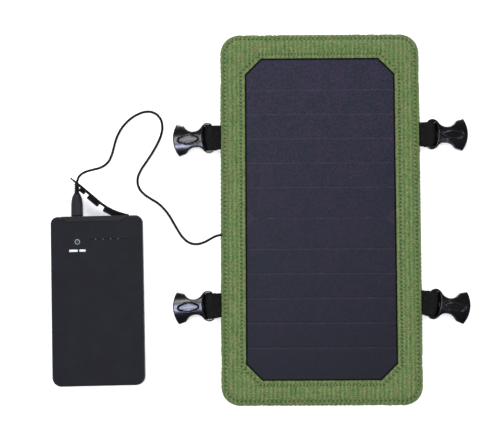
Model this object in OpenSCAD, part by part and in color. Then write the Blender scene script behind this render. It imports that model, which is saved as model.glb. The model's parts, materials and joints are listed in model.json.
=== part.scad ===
// Solar phone charger: a sewn solar pad with four strap buckles, and a power bank on its cable.
// Millimetres, +Z up. The origin is the centre of the pad's back face, which lies on z = 0.
// +X is across the pad, away from the power bank, and +Y is along the pad.

/* [Pad] */
// Width of the pad, along X
pad_w = 163; // [155:1:175]
// Length of the pad, along Y
pad_l = 304; // [296:1:320]
// Radius of the pad's corners
pad_r = 16; // [14:1:20]
// Width of the fabric border around the window
border = 20; // [18:0.5:22]
// Leg of the chamfers at the window's corners
window_chamfer = 13.3; // [10:0.1:15]
// Thickness of the pad's fabric
fabric_t = 0.8; // [0.6:0.1:0.9]
// Thickness of the foam
foam_t = 4.0; // [3.8:0.1:4.4]
// Thickness of the laminate's backing board
board_t = 1.0; // [0.8:0.1:1.2]

/* [Solar cells] */
// Height of an inner cell strip with its gap
strip_pitch = 20.1; // [19.5:0.1:20.3]
// Height of the outer strip of each cell with its gap
end_strip = 25.3; // [24:0.1:25.6]
// Gap between two strips
strip_gap = 0.8; // [0.6:0.1:1.2]
// Width of a cell strip, along X
strip_w = 125; // [120:1:128]
// Thickness of a cell strip
strip_t = 0.25; // [0.2:0.05:0.3]
// Thickness of the clear front film
film_t = 0.35; // [0.2:0.05:0.5]

/* [Straps and buckles] */
// Width of the webbing
strap_w = 20; // [19:0.5:20]
// Thickness of the two sewn layers of webbing
strap_t = 2.0; // [1.8:0.1:2.2]
// Radius of the bar that the webbing loops round
bar_r = 2.0; // [1.8:0.1:2.1]
// Overall thickness of a buckle at its mouth
buckle_t = 8.8; // [8:0.1:9.4]
// Height of the mouth that takes the mating half
mouth_h = 5.2; // [4.8:0.1:5.6]

/* [Cable] */
// Diameter of the cable
cable_d = 2.0; // [1.8:0.1:2.2]

/* [Power bank] */
// Width of the power bank, along its own X
bank_w = 75; // [72:1:80]
// Length of the power bank, along its own Y
bank_l = 138; // [134:1:144]
// Thickness of the power bank
bank_t = 11; // [10.6:0.1:12]
// Wall thickness of the power bank's shells
bank_wall = 1.4; // [1.2:0.1:1.6]
// How far the power bank is turned in plan
bank_turn = 1; // [0:0.5:2]

/* [Hidden] */
$fn = 48;
eps = 0.05;

// Corners of the pad: name, side along X, place along Y, turn of the strap in plan
corner_names = ["upper_left", "lower_left", "upper_right", "lower_right"];
corner_side = [-1, -1, 1, 1];
corner_y = [67.5, -70.5, 69, -69];
corner_turn = [185, 184, -2, -8];

// Heights of the pad's layers
foam_z = fabric_t;
board_z = foam_z + foam_t;
strip_z = board_z + board_t;
film_z = strip_z + strip_t;
rim_z = film_z + film_t;
pad_top = rim_z + fabric_t;
hem_z = 5.0;
hem_inset = 5.0;
wall_inset = 7.5;
laminate_margin = 8.5;
laminate_gap = 0.5;
window_w = pad_w - 2 * border;
window_l = pad_l - 2 * border;
cell_chamfer = 9;
strips_per_cell = 6;
strip_count = 2 * strips_per_cell;

// Regulator inside the foam, and the cable's way out of the pad
cable_y = -13;
cable_z = 2.8;
grommet_r = 1.8;
reg_w = 60;
reg_l = 26.6;
reg_x = -41;
reg_y = -12;
reg_wall = 0.7;
reg_z = fabric_t + 0.1;
reg_h = 3.0;
reg_lid_t = 0.7;
reg_pcb_z = reg_z + reg_wall;
reg_pcb_t = 0.8;
reg_top_z = reg_pcb_z + reg_pcb_t;
lead_r = 0.35;
lead_x = [-50, -30];

// Webbing tab, in the strap's own frame: +X points from the pad's edge to the buckle's mouth
fold_x = 3.1;
fold_z = 2.9;
bar_x = 8.9;
bar_z = buckle_t / 2;
loop_inner = bar_r + 0.3;
loop_outer = loop_inner + strap_t / 2;

// Buckle outline, in the buckle's own frame, whose origin is at its widest point behind the waist
buckle_x = 10.4;
shoulder_r = 5.0;
shoulder_y = 7.6;
waist_x = 11.5;
waist_r = 8.0;
waist_half = 6.2;
mouth_corner = [25, 13];
mouth_tip = 29;
rear_t = 5.4;
slot_front = 3.2;
slot_half = strap_w / 2 + 0.3;
cavity_x = 9;
cavity_half = 10.2;
boss_x = 16.6;
boss_half_l = 8.8;
boss_half_w = 3.9;
boss_t = 0.5;

// Power bank, in its own frame: origin at the centre of its underside
bank_x = -182;
bank_y = -66.5;
bank_r_top = 4.5;
bank_r_bottom = 7.5;
seam_z = bank_t / 2;
port_z = bank_t / 2;
roof_z = bank_t - bank_wall;
bezel = [[-30, bank_l / 2], [-24.5, bank_l / 2 - 4.6], [20, bank_l / 2 - 4.6], [27.5, bank_l / 2]];
bezel_face_y = bank_l / 2 - 2;
usb_a_x = [11.5, -4];
usb_a_size = [13.1, 14, 5.7];
usb_a_wall = 0.3;
micro_x = -16.1;
micro_size = [7.5, 6, 2.6];
micro_wall = 0.27;
plug_size = [6.85, 5.6, 1.8];
board_top = port_z - micro_size[2] / 2;
pcb_t = 1.0;
pcb_w = 60;
pcb_y = [36, bank_l / 2 - 5];
screw_at = [[-27, 40], [27, 40]];
led_x = [-0.7, 5.4, 11.5, 17.6];
led_y = 50;
ring_at = [-15.6, 48.1];
ring_r = 2.2;
mark_t = 0.15;
bar_marks = [[-22.4, -15.4], [-14.1, -8.9]];
bar_mark_y = 40;
bar_mark_h = 2;

// Cable plug, along the power bank's own +Y from the port
overmould_w = 9.8;
overmould_h = 7;
overmould_y = [bezel_face_y + 0.2, 80, 88];
relief_end = 97.2;
relief_r = 1.9;
relief_ribs = 5;

// Rubber port cover, standing open: a bent strip that rises to lie over the plug's strain relief
hinge_at = [25.4, bank_l / 2 + 0.6];
cover_len = 57;
cover_steps = 19;
cover_step = cover_len / cover_steps;
cover_t = 2.0;
cover_h = 7.2;
cover_z = 1.7;
cover_tilt = 8;
cover_run = 147;
cover_knuckle = 0.8;
anchor_l = 4.2;
anchor_h = 4.6;
cover_tabs = [[15.3, 11.4, 4.4, 3.2], [30.8, 11.4, 4.4, 3.2], [42.9, 5.6, 1.7, 2.6]];

// Route of the free cable, from the pad's edge to the plug's strain relief
cable_route = [
    [-81.5, -13, 2.8], [-86, -14, 2.4], [-91, -16.5, 1.6], [-96, -19, 1], [-101.5, -20.3, 1],
    [-107.5, -19.2, 1], [-113, -14.8, 1], [-117, -9, 1], [-120.5, -3, 1], [-124, 3, 1],
    [-128.3, 8.6, 1], [-133.5, 13.5, 1], [-139.3, 17.2, 1], [-145, 21.2, 1], [-149.2, 26.8, 1],
    [-150.2, 33.5, 1], [-148, 40, 1], [-144.2, 46, 1], [-140.3, 51.8, 1], [-136.6, 57.8, 1],
    [-133.3, 64, 1], [-130.8, 70.5, 1], [-129.9, 77.3, 1], [-131.8, 84, 1], [-137, 88.5, 1],
    [-143.7, 89.3, 1], [-150.2, 87.2, 1], [-156, 83.6, 1], [-161, 78.9, 1], [-165, 73.2, 1],
    [-167.9, 66.8, 1], [-169.8, 60.1, 1], [-171.7, 53.3, 1], [-175, 47.2, 1.3], [-180.5, 43.2, 2],
    [-187, 41.2, 3], [-193.2, 39.2, 4.2], [-197.8, 35.6, 5.2], [-199.8, 30.4, 5.5]
];
rings_per_span = 2;
cable_sides = 8;

function strip_name(i) = str("cell_strip_", i < 10 ? "0" : "", i);

// Edge of strip i, counted down from the centre of the pad: 0 is the gap between the two cells
function strip_edge(i) = i == 0 ? 0
    : i == strips_per_cell ? end_strip * 2 + strip_pitch * (strips_per_cell - 2)
    : end_strip + strip_pitch * (i - 1);

// ---------- shared shapes ----------

// Rectangle with true round corners, with one radius at the +Y end and one at the -Y end
module round_rect(w, l, r_top, r_bottom) {
    polygon([
        [-w / 2, -l / 2 + r_bottom], [-w / 2 + r_bottom, -l / 2],
        [w / 2 - r_bottom, -l / 2], [w / 2, -l / 2 + r_bottom],
        [w / 2, l / 2 - r_top], [w / 2 - r_top, l / 2],
        [-w / 2 + r_top, l / 2], [-w / 2, l / 2 - r_top]
    ]);
    for (s = [-1, 1]) {
        translate([s * (w / 2 - r_top), l / 2 - r_top]) circle(r_top);
        translate([s * (w / 2 - r_bottom), -l / 2 + r_bottom]) circle(r_bottom);
    }
}

module pad_outline(inset = 0) {
    round_rect(pad_w - 2 * inset, pad_l - 2 * inset, pad_r - inset, pad_r - inset);
}

// The window's shape, grown by a margin on every side
module chamfered(margin = 0) {
    w = window_w / 2 + margin;
    l = window_l / 2 + margin;
    c = window_chamfer + margin * (2 - sqrt(2));
    polygon([
        [-w, -l + c], [-w + c, -l], [w - c, -l], [w, -l + c],
        [w, l - c], [w - c, l], [-w + c, l], [-w, l - c]
    ]);
}

module slab(z, t) {
    translate([0, 0, z]) linear_extrude(t) children();
}

module at_corner(i) {
    translate([corner_side[i] * pad_w / 2, corner_y[i], 0])
        rotate([0, 0, corner_turn[i]])
        children();
}

module at_bank() {
    translate([bank_x, bank_y, 0]) rotate([0, 0, bank_turn]) children();
}

// A box centred in X, from y to y + size.y, centred on height z
module port_box(x, y, z, size) {
    translate([x - size[0] / 2, y, z - size[2] / 2]) cube(size);
}

// ---------- pad ----------

module back_cover() {
    color("darkolivegreen") slab(0, fabric_t) pad_outline();
}

module front_cover() {
    color("darkolivegreen") difference() {
        union() {
            slab(foam_z, hem_z - foam_z) pad_outline();
            slab(hem_z, pad_top - hem_z) pad_outline(hem_inset);
        }
        slab(foam_z - eps, foam_t + 2 * eps) pad_outline(wall_inset);
        slab(board_z, rim_z - board_z) chamfered(laminate_margin + laminate_gap);
        slab(rim_z - eps, fabric_t + 1) chamfered();
        translate([-pad_w / 2 - 1, cable_y, cable_z]) rotate([0, 90, 0]) cylinder(r = grommet_r, h = 12);
        for (i = [0:3]) webbing_anchor(i);
    }
}

// The sewn end of each strap, shut in between the two fabric covers
module webbing_anchor(i) {
    x = corner_side[i] > 0 ? pad_w / 2 - wall_inset : -pad_w / 2;
    translate([x, corner_y[i] - strap_w / 2, fold_z - strap_t / 2]) cube([wall_inset, strap_w, strap_t]);
}

module webbing_anchors() {
    color("dimgray") for (i = [0:3]) webbing_anchor(i);
}

module foam_pad() {
    color("gainsboro") difference() {
        slab(foam_z, foam_t) pad_outline(wall_inset);
        translate([reg_x - reg_w / 2 - 0.2, reg_y - reg_l / 2 - 0.2, 0]) cube([reg_w + 0.4, reg_l + 0.4, 10]);
        translate([-pad_w / 2, cable_y - cable_d / 2 - 0.2, 0]) cube([15, cable_d + 0.4, 10]);
    }
}

module backing_board() {
    color("black") difference() {
        slab(board_z, board_t) chamfered(laminate_margin);
        for (x = lead_x) translate([x, 0, 0]) cylinder(r = lead_r + 0.05, h = 20);
    }
}

// Strips 1 to 6 are the upper cell, from the pad's +Y end down, and 7 to 12 the lower one
module cell_strip(i) {
    upper = i <= strips_per_cell;
    k = upper ? strips_per_cell - i : i - strips_per_cell - 1;
    y0 = strip_edge(k) + strip_gap / 2;
    y1 = strip_edge(k + 1) - strip_gap / 2;
    c0 = k == 0 ? cell_chamfer : 0;
    c1 = k == strips_per_cell - 1 ? window_chamfer : 0;
    w = strip_w / 2;
    outline = concat(
        [[-w, y0 + c0]], c0 > 0 ? [[-w + c0, y0], [w - c0, y0]] : [],
        [[w, y0 + c0], [w, y1 - c1]], c1 > 0 ? [[w - c1, y1], [-w + c1, y1]] : [],
        [[-w, y1 - c1]]
    );
    color("midnightblue") slab(strip_z, strip_t) mirror([0, upper ? 0 : 1]) polygon(outline);
}

// Tinned links that bridge each gap from one strip to the next
module cell_ribbons() {
    link = [6, strip_gap, strip_t - eps];
    for (side = [-1, 1], k = [0:strips_per_cell - 1], x = [-40, 0, 40])
        if (k > 0 || side > 0)
            color("silver")
                translate([x - link[0] / 2, side * strip_edge(k) - strip_gap / 2, strip_z])
                cube(link);
}

module front_film() {
    color("black", 0.4) slab(film_z, film_t) chamfered(laminate_margin);
}

// ---------- regulator ----------

module regulator_case() {
    color("darkslategray") difference() {
        translate([reg_x - reg_w / 2, reg_y - reg_l / 2, reg_z]) cube([reg_w, reg_l, reg_h]);
        translate([reg_x - reg_w / 2 + reg_wall, reg_y - reg_l / 2 + reg_wall, reg_z + reg_wall])
            cube([reg_w - 2 * reg_wall, reg_l - 2 * reg_wall, reg_h]);
        translate([reg_x - reg_w / 2 - 1, cable_y - cable_d / 2 - 0.1, cable_z - cable_d / 2 - 0.1])
            cube([3, cable_d + 0.2, 5]);
    }
}

module regulator_lid() {
    color("darkslategray") difference() {
        translate([reg_x - reg_w / 2, reg_y - reg_l / 2, reg_z + reg_h]) cube([reg_w, reg_l, reg_lid_t]);
        for (x = lead_x) translate([x, 0, 0]) cylinder(r = lead_r + 0.1, h = 20);
    }
}

module regulator_board() {
    color("green")
        translate([reg_x - reg_w / 2 + 3, reg_y - reg_l / 2 + 1, reg_pcb_z])
        cube([reg_w - 5, reg_l - 2, reg_pcb_t]);
}

module regulator_coil() {
    color("gray") translate([reg_x, reg_y, reg_top_z]) {
        translate([8, -4, 0]) cube([7, 7, 1.3]);
        translate([-8, -3, 0]) cube([5, 4, 0.9]);
    }
}

module panel_leads() {
    color("silver")
        for (x = lead_x)
            translate([x, 0, reg_top_z]) cylinder(r = lead_r, h = strip_z + strip_t - eps - reg_top_z);
}

module cable_grommet() {
    color("black")
        translate([-pad_w / 2, cable_y, cable_z]) rotate([0, 90, 0])
        difference() {
            cylinder(r = grommet_r, h = wall_inset);
            translate([0, 0, -1]) cylinder(d = cable_d, h = wall_inset + 2);
        }
}

module cable_tail() {
    end_x = reg_x - reg_w / 2 + reg_wall + 0.5;
    color("black")
        translate([-pad_w / 2, cable_y, cable_z])
        rotate([0, 90, 0])
        cylinder(d = cable_d, h = end_x + pad_w / 2);
}

// ---------- straps and buckles ----------

// Points where the outer tangents touch two circles, in order around the pair
function tangent_quad(c1, r1, c2, r2) =
    let (
        d = c2 - c1,
        a = atan2(d[1], d[0]),
        b = acos((r1 - r2) / norm(d)),
        up = [cos(a + b), sin(a + b)],
        down = [cos(a - b), sin(a - b)]
    )
    [c1 + r1 * down, c2 + r2 * down, c2 + r2 * up, c1 + r1 * up];

// Stands a profile drawn in X and Z upright and gives it a width across Y
module upright(width) {
    rotate([90, 0, 0]) linear_extrude(width, center = true) children();
}

module webbing_tab(i) {
    fold = [fold_x, fold_z];
    bar = [bar_x, bar_z];
    color("dimgray") at_corner(i) upright(strap_w) difference() {
        union() {
            translate(fold) circle(strap_t / 2);
            translate(bar) circle(loop_outer);
            polygon(tangent_quad(fold, strap_t / 2, bar, loop_outer));
        }
        translate(bar) circle(loop_inner);
    }
}

// Half-length and half-width of a lens give the radius of its two arcs
function lens_r(half_l, half_w) = (half_l * half_l + half_w * half_w) / (2 * half_w);

module lens(half_l, half_w) {
    r = lens_r(half_l, half_w);
    intersection() {
        translate([0, r - half_w]) circle(r);
        translate([0, half_w - r]) circle(r);
    }
}

module buckle_outline() {
    front_r = lens_r(mouth_corner[1], mouth_tip - mouth_corner[0]);
    difference() {
        intersection() {
            union() {
                for (s = [-1, 1]) translate([0, s * shoulder_y]) circle(shoulder_r);
                translate([-shoulder_r, -shoulder_y]) square([2 * shoulder_r, 2 * shoulder_y]);
                polygon([
                    [0, -shoulder_y - shoulder_r], [waist_x, -shoulder_y], [17, -10.8], [31, -14.9],
                    [31, 14.9], [17, 10.8], [waist_x, shoulder_y], [0, shoulder_y + shoulder_r]
                ]);
            }
            translate([mouth_tip - front_r, 0]) circle(front_r);
        }
        for (s = [-1, 1]) translate([waist_x, s * (waist_half + waist_r)]) circle(waist_r);
    }
}

// The slot in front of the bar, whose front edge is a shallow arc, and the open back behind it
module strap_slot() {
    arc_r = 34;
    intersection() {
        translate([-shoulder_r - 1, -slot_half]) square([20, 2 * slot_half]);
        translate([slot_front + 1.4 - arc_r, 0]) circle(arc_r);
    }
}

module buckle(i) {
    half_rear = rear_t / 2;
    color("black") at_corner(i) translate([buckle_x, 0, bar_z]) {
        difference() {
            intersection() {
                slab(-buckle_t / 2, buckle_t) buckle_outline();
                upright(40) polygon([
                    [-6, -half_rear], [2, -half_rear], [waist_x, -buckle_t / 2], [31, -buckle_t / 2],
                    [31, buckle_t / 2], [waist_x, buckle_t / 2], [2, half_rear], [-6, half_rear]
                ]);
            }
            slab(-buckle_t, 2 * buckle_t) strap_slot();
            translate([cavity_x, -cavity_half, -mouth_h / 2]) cube([30, 2 * cavity_half, mouth_h]);
        }
        translate([bar_x - buckle_x, 0, 0])
            rotate([90, 0, 0])
            cylinder(r = bar_r, h = 2 * slot_half + 1, center = true);
        slab(buckle_t / 2 - eps, boss_t + eps) translate([boss_x, 0]) lens(boss_half_l, boss_half_w);
    }
}

// ---------- cable and plug ----------

// Point and direction of a smooth curve through the route, at parameter t from 0 to 1 in span i
function route_at(i) = cable_route[max(0, min(len(cable_route) - 1, i))];
function slope_at(i) = (route_at(i + 1) - route_at(i - 1)) / 2;
function on_route(i, t) =
    route_at(i) * (2 * pow(t, 3) - 3 * pow(t, 2) + 1) + slope_at(i) * (pow(t, 3) - 2 * pow(t, 2) + t)
    + route_at(i + 1) * (3 * pow(t, 2) - 2 * pow(t, 3)) + slope_at(i + 1) * (pow(t, 3) - pow(t, 2));
function unit(v) = v / norm(v);

module solar_cable() {
    spans = len(cable_route) - 1;
    stations = [for (i = [0:spans - 1], k = [0:rings_per_span - 1]) [i, k / rings_per_span]];
    centres = concat([for (s = stations) on_route(s[0], s[1])], [route_at(spans)]);
    n = len(centres);
    rings = [
        for (j = [0:n - 1])
            let (
                ahead = unit(centres[min(n - 1, j + 1)] - centres[max(0, j - 1)]),
                side = unit(cross([0, 0, 1], ahead)),
                up = cross(ahead, side)
            )
            for (q = [0:cable_sides - 1])
                let (a = q * 360 / cable_sides)
                centres[j] + cable_d / 2 * (cos(a) * side + sin(a) * up)
    ];
    walls = [
        for (j = [0:n - 2], q = [0:cable_sides - 1])
            let (a = j * cable_sides + q, b = j * cable_sides + (q + 1) % cable_sides)
            [a, a + cable_sides, b + cable_sides, b]
    ];
    caps = [
        [for (q = [0:cable_sides - 1]) q],
        [for (q = [cable_sides - 1:-1:0]) (n - 1) * cable_sides + q]
    ];
    color("black") polyhedron(points = rings, faces = concat(walls, caps), convexity = 10);
}

// A rounded block across the plug's axis, used to blend the overmould's shape
module plug_section(y, w, h) {
    r = min(w, h) / 2 - 0.8;
    translate([micro_x, y, port_z])
        rotate([90, 0, 0])
        linear_extrude(0.2)
        round_rect(w, h, r, r);
}

module plug_body() {
    color("black") at_bank() hull() {
        $fn = 32;
        plug_section(overmould_y[0] + 0.2, overmould_w, overmould_h);
        plug_section(overmould_y[1], overmould_w, overmould_h);
        plug_section(overmould_y[2], 5.0, 4.6);
    }
}

module strain_relief() {
    length = relief_end - overmould_y[2];
    pitch = length / relief_ribs;
    color("black") at_bank() translate([micro_x, overmould_y[2], port_z]) rotate([-90, 0, 0]) {
        cylinder(r = relief_r - 0.4, h = length);
        for (k = [0:relief_ribs - 1]) translate([0, 0, k * pitch]) cylinder(r = relief_r, h = pitch * 0.6);
    }
}

// The plug's metal tube, seated in the power bank's socket
module plug_shell() {
    y = overmould_y[0] - plug_size[1];
    wall = 0.3;
    color("silver") at_bank() difference() {
        port_box(micro_x, y, port_z, plug_size);
        port_box(micro_x, y - 1, port_z, plug_size - [2 * wall, 0, 2 * wall]);
    }
}

// ---------- power bank ----------

module bank_outline(inset = 0) {
    round_rect(bank_w - 2 * inset, bank_l - 2 * inset, bank_r_top - inset, bank_r_bottom - inset);
}

module bezel_outline(gap = 0) {
    polygon([
        bezel[0] + [-gap, 1], bezel[0] + [-gap, 0], bezel[1] + [-gap, -gap],
        bezel[2] + [gap, -gap], bezel[3] + [gap, 0], bezel[3] + [gap, 1]
    ]);
}

module bank_top_shell() {
    chamfer = 1.2;
    color("dimgray") at_bank() difference() {
        hull() {
            $fn = 32;
            slab(seam_z, bank_t - chamfer - seam_z) bank_outline();
            slab(bank_t - 0.1, 0.1) bank_outline(chamfer);
        }
        slab(seam_z - 1, roof_z - seam_z + 1) bank_outline(bank_wall);
        slab(seam_z - 1, bank_t) bezel_outline(0.05);
        for (x = led_x) translate([x, led_y, 0]) cylinder(r = 0.65, h = 20);
        touch_mark_shape(0.4);
    }
}

module bank_back_shell() {
    color("dimgray") at_bank() {
        difference() {
            slab(0, seam_z) bank_outline();
            slab(bank_wall, seam_z) bank_outline(bank_wall);
            slab(bank_wall, seam_z) bezel_outline(0.05);
        }
        for (p = screw_at) translate([p[0], p[1], bank_wall - eps]) difference() {
            cylinder(r = 2.4, h = board_top - pcb_t - bank_wall + eps);
            translate([0, 0, 0.3]) cylinder(r = 0.8, h = 10);
        }
    }
}

// The port frame: it fills a notch in both shells and carries the sockets
module port_bezel() {
    color("black") at_bank() difference() {
        slab(bank_wall, bank_t - bank_wall - 0.2) intersection() {
            bezel_outline();
            bank_outline();
        }
        translate([-40, bezel_face_y, 0]) cube([80, 10, roof_z - 0.2]);
        for (x = usb_a_x)
            port_box(x, bezel_face_y - 10, port_z, [usb_a_size[0] + 0.1, 20, usb_a_size[2] + 0.1]);
        port_box(micro_x, bezel_face_y - 10, port_z, [micro_size[0] + 0.1, 20, micro_size[2] + 0.1]);
    }
}

module bank_battery() {
    color("lightsteelblue") at_bank()
        slab(bank_wall + 0.2, roof_z - bank_wall - 1)
        translate([0, -16])
        round_rect(66, 96, 3, 3);
}

module battery_leads() {
    color("orangered") at_bank()
        for (x = [-8, 8]) translate([x - 2, 32, board_top]) cube([4, 6, 0.3]);
}

module bank_board() {
    color("green") at_bank() difference() {
        translate([-pcb_w / 2, pcb_y[0], board_top - pcb_t]) cube([pcb_w, pcb_y[1] - pcb_y[0], pcb_t]);
        for (x = usb_a_x)
            port_box(x, bezel_face_y - usb_a_size[1] - 0.2, port_z, [usb_a_size[0] + 0.4, 20, usb_a_size[2]]);
        for (p = screw_at) translate([p[0], p[1], 0]) cylinder(r = 1.1, h = 20);
    }
}

module board_screws() {
    shank_z = bank_wall + 0.5;
    color("silver") at_bank() for (p = screw_at) {
        translate([p[0], p[1], shank_z]) cylinder(r = 0.75, h = board_top - shank_z + eps);
        translate([p[0], p[1], board_top]) cylinder(r = 1.7, h = 1.0);
    }
}

module usb_a_port(x) {
    inner = [usb_a_size[0] - 2 * usb_a_wall, usb_a_size[1], usb_a_size[2] - 2 * usb_a_wall];
    y = bezel_face_y - usb_a_size[1];
    color("silver") at_bank() difference() {
        port_box(x, y, port_z, usb_a_size);
        port_box(x, y + usb_a_wall, port_z, inner);
    }
}

module usb_a_tongue(x) {
    y = bezel_face_y - usb_a_size[1] + usb_a_wall;
    color("white") at_bank() {
        port_box(x, y, port_z, [usb_a_size[0] - 2 * usb_a_wall, 3, usb_a_size[2] - 2 * usb_a_wall]);
        port_box(x, y + 3 - eps, port_z + 0.9, [11.1, 8.6 + eps, 1.84]);
    }
}

module micro_usb_port() {
    y = bezel_face_y - micro_size[1];
    color("silver") at_bank() {
        difference() {
            port_box(micro_x, y, port_z, micro_size);
            port_box(micro_x, y + 0.3, port_z, micro_size - [2 * micro_wall, 0, 2 * micro_wall]);
        }
        port_box(micro_x, y + 0.2, port_z, [5.4, 4.6, 0.5]);
    }
}

module boost_inductor() {
    color("darkgray") at_bank() translate([22, 46, board_top]) {
        cylinder(r = 3.4, h = 0.6);
        cylinder(r = 2.6, h = 3.6);
        translate([0, 0, 3]) cylinder(r = 3.4, h = 0.6);
    }
}

module charge_chip() {
    color("black") at_bank() translate([4, 40, board_top]) cube([5, 5, 0.9]);
}

module status_leds() {
    color("white") at_bank()
        for (x = led_x) translate([x - 0.8, led_y - 0.4, board_top]) cube([1.6, 0.8, 0.6]);
}

module light_pipes() {
    color("white") at_bank()
        for (x = led_x)
            translate([x, led_y, board_top + 0.7]) cylinder(r = 0.6, h = bank_t - board_top - 0.7);
}

module touch_plate() {
    color("orange") at_bank() translate([ring_at[0], ring_at[1], roof_z - 0.2]) cylinder(r = 5, h = 0.2);
}

module touch_spring() {
    color("silver") at_bank() translate([ring_at[0], ring_at[1] - 2, board_top]) difference() {
        cylinder(r = 2, h = roof_z - 0.2 - board_top);
        translate([0, 0, -1]) cylinder(r = 1.5, h = 20);
    }
}

// The ring, its stroke and two plain bars, all inlaid flush with the face
module touch_mark_shape(over = 0) {
    z = bank_t - mark_t;
    translate([ring_at[0], ring_at[1], z]) {
        difference() {
            cylinder(r = ring_r, h = mark_t + over);
            translate([0, 0, -1]) cylinder(r = ring_r - 0.7, h = 5);
        }
        translate([-0.25, -0.2, 0]) cube([0.5, 1.2, mark_t + over]);
    }
    for (b = bar_marks) translate([b[0], bar_mark_y, z]) cube([b[1] - b[0], bar_mark_h, mark_t + over]);
}

module touch_mark() {
    color("white") at_bank() touch_mark_shape();
}

// ---------- port cover ----------

function ease(x) = let (t = max(0, min(1, x))) t * t * (3 - 2 * t);
function cover_heading(s) = 180 - 14 - 27 * ease(s / 30);
function cover_half(s) = (s > cover_len - 8 ? cover_t - 0.13 * (s - cover_len + 8) : cover_t) / 2
    * (s < 6 ? 0.7 + 0.3 * s / 6 : 1);

// The strip's centreline, walked in equal steps from the hinge
function cover_point(k) = k == 0 ? [0, 0]
    : let (a = cover_heading((k - 0.5) * cover_step))
        cover_point(k - 1) + cover_step * [cos(a), sin(a)];

// The strip seen from above: up one side and back down the other
module cover_outline() {
    function edge(k, sign) =
        let (s = k * cover_step, a = cover_heading(s))
        cover_point(k) + sign * cover_half(s) * [-sin(a), cos(a)];
    polygon(concat(
        [for (k = [0:cover_steps]) edge(k, -1)],
        [for (k = [cover_steps:-1:0]) edge(k, 1)]
    ));
}

// A stopper on the strip's inner side: distance from the hinge, length, height and depth
module cover_tab(tab) {
    k = round(tab[0] / cover_step);
    p = cover_point(k);
    translate([p[0], p[1], (cover_h - tab[2]) / 2])
        rotate([0, 0, cover_heading(k * cover_step)])
        translate([-tab[1] / 2, 0, 0])
        cube([tab[1], tab[3] + cover_t / 2, tab[2]]);
}

module port_cover() {
    color("black") at_bank() translate([hinge_at[0], hinge_at[1], cover_z]) {
        cylinder(r = cover_knuckle, h = cover_h);
        rotate(a = cover_tilt, v = [sin(cover_run), -cos(cover_run), 0]) {
            linear_extrude(cover_h) cover_outline();
            for (tab = cover_tabs) cover_tab(tab);
        }
    }
}

// The end of the rubber moulding that the port frame holds
module cover_anchor() {
    back = hinge_at[0] - anchor_l;
    depth = hinge_at[1] - cover_knuckle - 0.7 - bezel_face_y;
    slant = (bezel[3][0] - bezel[2][0]) / (bezel[3][1] - bezel[2][1]);
    corner = bezel[3][0] - slant * (bezel[3][1] - bezel_face_y) - 0.4;
    color("black") at_bank() slab(cover_z, anchor_h) polygon([
        [back, bezel_face_y], [corner, bezel_face_y],
        [corner + slant * depth, bezel_face_y + depth], [back, bezel_face_y + depth]
    ]);
}

// ---------- one line per node ----------

front_cover();
back_cover();
foam_pad();
backing_board();
for (i = [1:strip_count]) cell_strip(i);
cell_ribbons();
front_film();
regulator_case();
regulator_lid();
regulator_board();
regulator_coil();
panel_leads();
cable_grommet();
cable_tail();
webbing_anchors();
for (i = [0:3]) webbing_tab(i);
for (i = [0:3]) buckle(i);
solar_cable();
plug_body();
strain_relief();
plug_shell();
bank_top_shell();
bank_back_shell();
port_bezel();
bank_battery();
battery_leads();
bank_board();
usb_a_port(usb_a_x[0]);  // usb_a_port_1
usb_a_port(usb_a_x[1]);  // usb_a_port_2
usb_a_tongue(usb_a_x[0]);  // usb_a_tongue_1
usb_a_tongue(usb_a_x[1]);  // usb_a_tongue_2
micro_usb_port();
boost_inductor();
charge_chip();
status_leds();
light_pipes();
touch_plate();
touch_spring();
touch_mark();
port_cover();
cover_anchor();
board_screws();
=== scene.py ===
import json
import math
import random

import bmesh
import bpy
import numpy as np
from mathutils import Matrix, Vector


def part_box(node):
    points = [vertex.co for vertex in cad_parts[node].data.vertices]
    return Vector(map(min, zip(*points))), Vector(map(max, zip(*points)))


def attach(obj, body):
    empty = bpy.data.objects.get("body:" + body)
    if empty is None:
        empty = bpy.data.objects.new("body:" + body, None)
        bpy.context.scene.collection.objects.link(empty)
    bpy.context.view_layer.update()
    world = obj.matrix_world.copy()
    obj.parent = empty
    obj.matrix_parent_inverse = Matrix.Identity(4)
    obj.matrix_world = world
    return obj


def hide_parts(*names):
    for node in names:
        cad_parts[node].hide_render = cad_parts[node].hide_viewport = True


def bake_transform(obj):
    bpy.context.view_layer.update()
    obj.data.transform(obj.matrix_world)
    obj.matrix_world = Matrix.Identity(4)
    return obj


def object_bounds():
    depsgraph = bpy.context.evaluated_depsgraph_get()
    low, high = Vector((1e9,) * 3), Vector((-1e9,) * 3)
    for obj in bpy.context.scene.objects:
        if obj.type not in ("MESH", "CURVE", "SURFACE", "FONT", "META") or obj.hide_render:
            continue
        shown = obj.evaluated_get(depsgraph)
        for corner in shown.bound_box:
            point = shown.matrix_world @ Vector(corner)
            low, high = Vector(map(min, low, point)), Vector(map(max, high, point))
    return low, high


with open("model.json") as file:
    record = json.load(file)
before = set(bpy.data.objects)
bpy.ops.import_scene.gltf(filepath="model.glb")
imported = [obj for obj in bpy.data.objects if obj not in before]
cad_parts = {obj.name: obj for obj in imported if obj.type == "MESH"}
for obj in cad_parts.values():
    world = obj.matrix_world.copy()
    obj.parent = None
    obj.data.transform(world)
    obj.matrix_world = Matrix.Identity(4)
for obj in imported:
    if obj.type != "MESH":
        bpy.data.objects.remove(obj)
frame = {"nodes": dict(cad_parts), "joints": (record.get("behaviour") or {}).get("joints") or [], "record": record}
old_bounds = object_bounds()
scene = bpy.context.scene
MM = 0.001
CORNERS = ("upper_left", "lower_left", "upper_right", "lower_right")
JOINTS = {j["name"]: j for j in frame["joints"]}
MOUNTS = {m["name"]: m for m in frame["record"]["mounts"]}


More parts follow.
